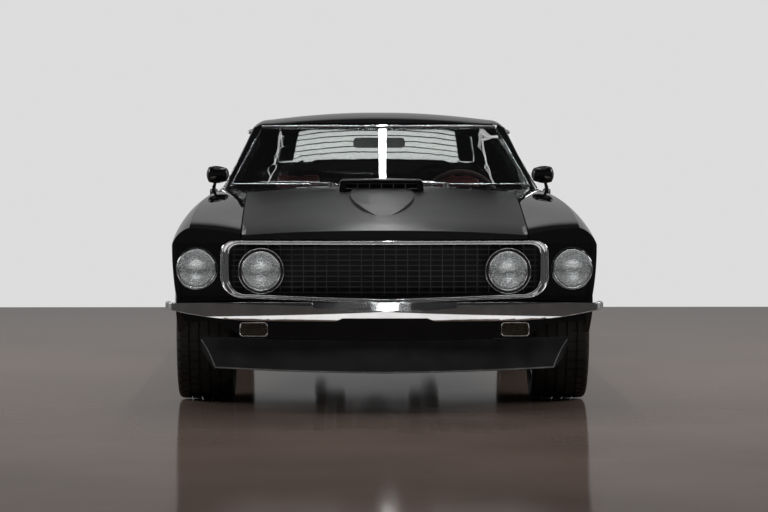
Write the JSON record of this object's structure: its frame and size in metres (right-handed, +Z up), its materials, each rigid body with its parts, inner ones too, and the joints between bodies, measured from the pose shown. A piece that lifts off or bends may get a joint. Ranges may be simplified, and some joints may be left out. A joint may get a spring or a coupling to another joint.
{
  "type": "muscle car",
  "caption": "Fastback muscle car with opening doors, hood and trunk lid, steered front wheels, a hood scoop, a chin spoiler and a louvred rear window.",
  "frame": {"origin": "on the ground, midway along and across the car", "axes": "+Z up, the nose points along -Y, +X is the car's left side, where the driver sits"},
  "size_m": [1.8362, 4.7605, 1.2795],
  "materials": {
    "body_paint": "gloss black",
    "hood_paint": "satin black",
    "underbody_paint": "satin black underseal",
    "spoiler": "matte black",
    "grille_black": "satin black",
    "chrome": "polished",
    "lamp_glass": "fluted clear glass over a reflector",
    "amber_lens": "amber and clear lens",
    "red_lens": "red lens",
    "clear_glass": "lightly tinted",
    "louvre_black": "matte black",
    "wiper": "satin",
    "mirror_black": "gloss black with mirror glass",
    "interior_plastic": "matte dark",
    "seat": "dark red, padded",
    "engine_metal": "cast",
    "bare_steel": "dull",
    "wheel_alloy": "machined with dark recesses",
    "tyre": "matte"
  },
  "bodies": {
    "body": {"underbody": "underbody_paint", "tunnel": "underbody_paint", "sills": "body_paint", "front_frame": "underbody_paint", "cowl": "body_paint", "roof": "body_paint", "quarter_left": "body_paint", "quarter_right": "body_paint", "parcel_shelf": "body_paint", "tail_panel": "body_paint", "fender_left": "body_paint", "fender_right": "body_paint", "front_valance": "body_paint", "chin_spoiler": "spoiler", "grille": "grille_black", "grille_surround": "chrome", "front_bumper": "chrome", "rear_bumper": "chrome", "headlamps": "lamp_glass", "parking_lamps": "amber_lens", "tail_lamps": "red_lens", "fixed_glass": "clear_glass", "louvres": "louvre_black", "wipers": "wiper", "rear_view_mirror": "mirror_black", "dashboard": "interior_plastic", "steering_wheel": "interior_plastic", "seats": "seat", "engine": "engine_metal", "exhaust": "bare_steel", "fuel_tank": "bare_steel", "rear_axle": "bare_steel", "front_suspension": "bare_steel"},
    "hood": {"hood": "hood_paint", "hood_scoop": "hood_paint"},
    "trunk_lid": {"trunk_lid": "body_paint"},
    "door_left": {"door_left": "body_paint", "door_glass_left": "clear_glass", "mirror_left": "mirror_black"},
    "door_right": {"door_right": "body_paint", "door_glass_right": "clear_glass", "mirror_right": "mirror_black"},
    "knuckle_left": {"knuckle_left": "engine_metal"},
    "knuckle_right": {"knuckle_right": "engine_metal"},
    "wheel_front_left": {"wheel_front_left": "wheel_alloy", "tyre_front_left": "tyre"},
    "wheel_front_right": {"wheel_front_right": "wheel_alloy", "tyre_front_right": "tyre"},
    "wheel_rear_left": {"wheel_rear_left": "wheel_alloy", "tyre_rear_left": "tyre"},
    "wheel_rear_right": {"wheel_rear_right": "wheel_alloy", "tyre_rear_right": "tyre"}
  },
  "joints": [
    {"name": "door_left_hinge", "type": "hinge", "parent": "body", "child": "door_left", "pos_m": [0.89, -0.822, 0.6], "axis": [0, 0, -1], "range_deg": [0, 65]},
    {"name": "door_right_hinge", "type": "hinge", "parent": "body", "child": "door_right", "pos_m": [-0.89, -0.822, 0.6], "axis": [0, 0, 1], "range_deg": [0, 65]},
    {"name": "hood_hinge", "type": "hinge", "parent": "body", "child": "hood", "pos_m": [0, -0.908, 0.912], "axis": [-1, 0, 0], "range_deg": [0, 50]},
    {"name": "trunk_hinge", "type": "hinge", "parent": "body", "child": "trunk_lid", "pos_m": [0, 1.552, 1.006], "axis": [1, 0, 0], "range_deg": [0, 60]},
    {"name": "steer_left", "type": "hinge", "parent": "body", "child": "knuckle_left", "pos_m": [0.685, -1.435, 0.327], "axis": [0, 0, 1], "range_deg": [-30, 30]},
    {"name": "steer_right", "type": "hinge", "parent": "body", "child": "knuckle_right", "pos_m": [-0.685, -1.435, 0.327], "axis": [0, 0, 1], "range_deg": [-30, 30]},
    {"name": "roll_front_left", "type": "hinge", "parent": "knuckle_left", "child": "wheel_front_left", "pos_m": [0.775, -1.435, 0.327], "axis": [1, 0, 0], "continuous": true},
    {"name": "roll_front_right", "type": "hinge", "parent": "knuckle_right", "child": "wheel_front_right", "pos_m": [-0.775, -1.435, 0.327], "axis": [1, 0, 0], "continuous": true},
    {"name": "roll_rear_left", "type": "hinge", "parent": "body", "child": "wheel_rear_left", "pos_m": [0.775, 1.308, 0.327], "axis": [1, 0, 0], "continuous": true},
    {"name": "roll_rear_right", "type": "hinge", "parent": "body", "child": "wheel_rear_right", "pos_m": [-0.775, 1.308, 0.327], "axis": [1, 0, 0], "continuous": true}
  ],
  "couplings": [
    {"joint": "steer_right", "follows": "steer_left", "ratio": 1}
  ]
}
